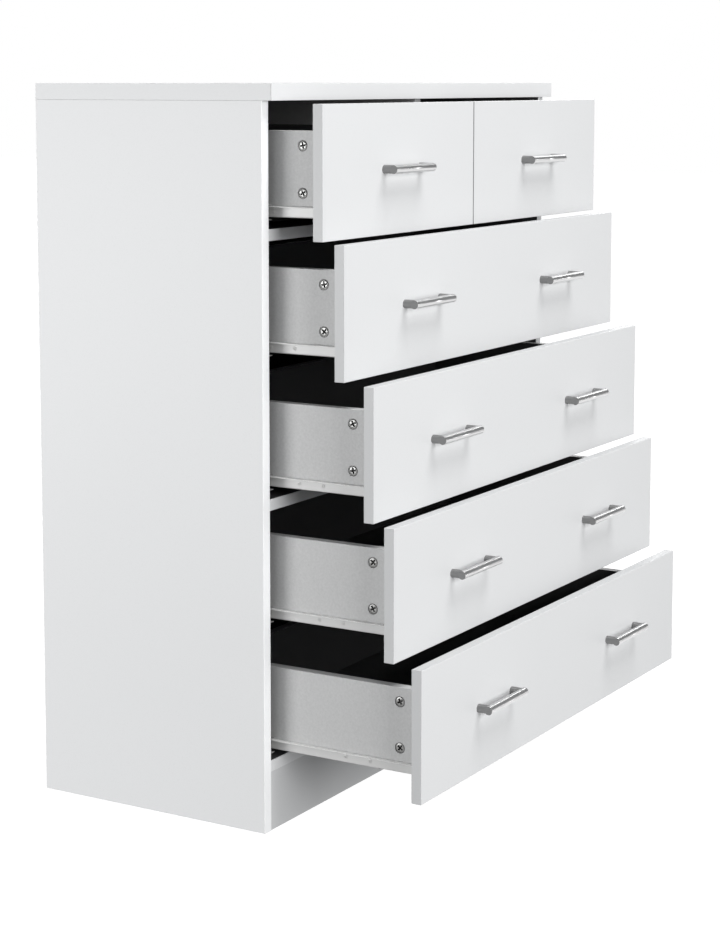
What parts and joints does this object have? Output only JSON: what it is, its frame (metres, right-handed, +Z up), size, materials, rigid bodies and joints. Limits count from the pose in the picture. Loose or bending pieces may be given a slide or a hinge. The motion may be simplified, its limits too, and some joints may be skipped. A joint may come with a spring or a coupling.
{
  "type": "tall chest of drawers",
  "caption": "Tall white board chest of drawers: small drawers side by side over full-width drawers on roller runners, with mitred bar handles, shown with its drawers open in steps.",
  "frame": {"origin": "on the floor, at the middle of the box that the chest fills with its drawers open as at rest", "axes": "+X along the front to the right as seen from the front, +Y from front to back, +Z up"},
  "size_m": [0.85, 0.654, 1.03],
  "materials": {
    "white_board": "white melamine facing on particle board, satin",
    "grey_board": "light grey foil on particle board, matt",
    "dark_board": "charcoal foil, matt",
    "raw_hardboard": "raw hardboard, with a charcoal face towards the drawers",
    "white_steel": "powder coated sheet steel, satin",
    "zinc": "zinc plated",
    "nylon": "moulded nylon",
    "nickel": "brushed nickel"
  },
  "bodies": {
    "carcass": {"top_panel": "white_board", "left_side_panel": "white_board", "right_side_panel": "white_board", "centre_divider": "dark_board", "base_panel": "white_board", "plinth": "white_board", "upper_cross_rail": "white_board", "lower_cross_rail": "white_board", "back_panel": "raw_hardboard", "cabinet_runners": "white_steel", "carcass_fixings": "zinc", "back_panel_screws": "zinc"},
    "upper_left_drawer": {"upper_left_drawer_front": "white_board", "upper_left_drawer_box": "grey_board", "upper_left_drawer_bottom": "dark_board", "upper_left_drawer_handles": "nickel", "upper_left_drawer_runners": "white_steel", "upper_left_drawer_fixings": "zinc"},
    "upper_left_drawer_front_rollers": {"upper_left_drawer_front_rollers": "nylon"},
    "upper_left_drawer_rear_rollers": {"upper_left_drawer_rear_rollers": "nylon"},
    "upper_right_drawer": {"upper_right_drawer_front": "white_board", "upper_right_drawer_box": "grey_board", "upper_right_drawer_bottom": "dark_board", "upper_right_drawer_handles": "nickel", "upper_right_drawer_runners": "white_steel", "upper_right_drawer_fixings": "zinc"},
    "upper_right_drawer_front_rollers": {"upper_right_drawer_front_rollers": "nylon"},
    "upper_right_drawer_rear_rollers": {"upper_right_drawer_rear_rollers": "nylon"},
    "second_drawer": {"second_drawer_front": "white_board", "second_drawer_box": "grey_board", "second_drawer_bottom": "dark_board", "second_drawer_handles": "nickel", "second_drawer_runners": "white_steel", "second_drawer_fixings": "zinc"},
    "second_drawer_front_rollers": {"second_drawer_front_rollers": "nylon"},
    "second_drawer_rear_rollers": {"second_drawer_rear_rollers": "nylon"},
    "third_drawer": {"third_drawer_front": "white_board", "third_drawer_box": "grey_board", "third_drawer_bottom": "dark_board", "third_drawer_handles": "nickel", "third_drawer_runners": "white_steel", "third_drawer_fixings": "zinc"},
    "third_drawer_front_rollers": {"third_drawer_front_rollers": "nylon"},
    "third_drawer_rear_rollers": {"third_drawer_rear_rollers": "nylon"},
    "fourth_drawer": {"fourth_drawer_front": "white_board", "fourth_drawer_box": "grey_board", "fourth_drawer_bottom": "dark_board", "fourth_drawer_handles": "nickel", "fourth_drawer_runners": "white_steel", "fourth_drawer_fixings": "zinc"},
    "fourth_drawer_front_rollers": {"fourth_drawer_front_rollers": "nylon"},
    "fourth_drawer_rear_rollers": {"fourth_drawer_rear_rollers": "nylon"},
    "fifth_drawer": {"fifth_drawer_front": "white_board", "fifth_drawer_box": "grey_board", "fifth_drawer_bottom": "dark_board", "fifth_drawer_handles": "nickel", "fifth_drawer_runners": "white_steel", "fifth_drawer_fixings": "zinc"},
    "fifth_drawer_front_rollers": {"fifth_drawer_front_rollers": "nylon"},
    "fifth_drawer_rear_rollers": {"fifth_drawer_rear_rollers": "nylon"}
  },
  "joints": [
    {"name": "upper_left_drawer_slide", "type": "slide", "parent": "carcass", "child": "upper_left_drawer", "axis": [0, -1, 0], "range_m": [-0.079, 0.181]},
    {"name": "upper_left_drawer_front_rollers_turn", "type": "hinge", "parent": "carcass", "child": "upper_left_drawer_front_rollers", "pos_m": [-0.2085, -0.043, 0.8559], "axis": [1, 0, 0], "continuous": true},
    {"name": "upper_left_drawer_rear_rollers_turn", "type": "hinge", "parent": "upper_left_drawer", "child": "upper_left_drawer_rear_rollers", "pos_m": [-0.2085, 0.201, 0.8559], "axis": [1, 0, 0], "continuous": true},
    {"name": "upper_right_drawer_slide", "type": "slide", "parent": "carcass", "child": "upper_right_drawer", "axis": [0, -1, 0], "range_m": [-0.079, 0.181]},
    {"name": "upper_right_drawer_front_rollers_turn", "type": "hinge", "parent": "carcass", "child": "upper_right_drawer_front_rollers", "pos_m": [0.2085, -0.043, 0.8559], "axis": [1, 0, 0], "continuous": true},
    {"name": "upper_right_drawer_rear_rollers_turn", "type": "hinge", "parent": "upper_right_drawer", "child": "upper_right_drawer_rear_rollers", "pos_m": [0.2085, 0.201, 0.8559], "axis": [1, 0, 0], "continuous": true},
    {"name": "second_drawer_slide", "type": "slide", "parent": "carcass", "child": "second_drawer", "axis": [0, -1, 0], "range_m": [-0.112, 0.148]},
    {"name": "second_drawer_front_rollers_turn", "type": "hinge", "parent": "carcass", "child": "second_drawer_front_rollers", "pos_m": [0, -0.043, 0.6715], "axis": [1, 0, 0], "continuous": true},
    {"name": "second_drawer_rear_rollers_turn", "type": "hinge", "parent": "second_drawer", "child": "second_drawer_rear_rollers", "pos_m": [0, 0.168, 0.6715], "axis": [1, 0, 0], "continuous": true},
    {"name": "third_drawer_slide", "type": "slide", "parent": "carcass", "child": "third_drawer", "axis": [0, -1, 0], "range_m": [-0.157, 0.103]},
    {"name": "third_drawer_front_rollers_turn", "type": "hinge", "parent": "carcass", "child": "third_drawer_front_rollers", "pos_m": [0, -0.043, 0.4871], "axis": [1, 0, 0], "continuous": true},
    {"name": "third_drawer_rear_rollers_turn", "type": "hinge", "parent": "third_drawer", "child": "third_drawer_rear_rollers", "pos_m": [0, 0.123, 0.4871], "axis": [1, 0, 0], "continuous": true},
    {"name": "fourth_drawer_slide", "type": "slide", "parent": "carcass", "child": "fourth_drawer", "axis": [0, -1, 0], "range_m": [-0.188, 0.072]},
    {"name": "fourth_drawer_front_rollers_turn", "type": "hinge", "parent": "carcass", "child": "fourth_drawer_front_rollers", "pos_m": [0, -0.043, 0.3027], "axis": [1, 0, 0], "continuous": true},
    {"name": "fourth_drawer_rear_rollers_turn", "type": "hinge", "parent": "fourth_drawer", "child": "fourth_drawer_rear_rollers", "pos_m": [0, 0.092, 0.3027], "axis": [1, 0, 0], "continuous": true},
    {"name": "fifth_drawer_slide", "type": "slide", "parent": "carcass", "child": "fifth_drawer", "axis": [0, -1, 0], "range_m": [-0.23, 0.03]},
    {"name": "fifth_drawer_front_rollers_turn", "type": "hinge", "parent": "carcass", "child": "fifth_drawer_front_rollers", "pos_m": [0, -0.043, 0.1183], "axis": [1, 0, 0], "continuous": true},
    {"name": "fifth_drawer_rear_rollers_turn", "type": "hinge", "parent": "fifth_drawer", "child": "fifth_drawer_rear_rollers", "pos_m": [0, 0.05, 0.1183], "axis": [1, 0, 0], "continuous": true}
  ],
  "couplings": [
    {"joint": "upper_left_drawer_front_rollers_turn", "follows": "upper_left_drawer_slide", "rad_per_m": 125},
    {"joint": "upper_left_drawer_rear_rollers_turn", "follows": "upper_left_drawer_slide", "rad_per_m": 125},
    {"joint": "upper_right_drawer_front_rollers_turn", "follows": "upper_right_drawer_slide", "rad_per_m": 125},
    {"joint": "upper_right_drawer_rear_rollers_turn", "follows": "upper_right_drawer_slide", "rad_per_m": 125},
    {"joint": "second_drawer_front_rollers_turn", "follows": "second_drawer_slide", "rad_per_m": 125},
    {"joint": "second_drawer_rear_rollers_turn", "follows": "second_drawer_slide", "rad_per_m": 125},
    {"joint": "third_drawer_front_rollers_turn", "follows": "third_drawer_slide", "rad_per_m": 125},
    {"joint": "third_drawer_rear_rollers_turn", "follows": "third_drawer_slide", "rad_per_m": 125},
    {"joint": "fourth_drawer_front_rollers_turn", "follows": "fourth_drawer_slide", "rad_per_m": 125},
    {"joint": "fourth_drawer_rear_rollers_turn", "follows": "fourth_drawer_slide", "rad_per_m": 125},
    {"joint": "fifth_drawer_front_rollers_turn", "follows": "fifth_drawer_slide", "rad_per_m": 125},
    {"joint": "fifth_drawer_rear_rollers_turn", "follows": "fifth_drawer_slide", "rad_per_m": 125}
  ]
}
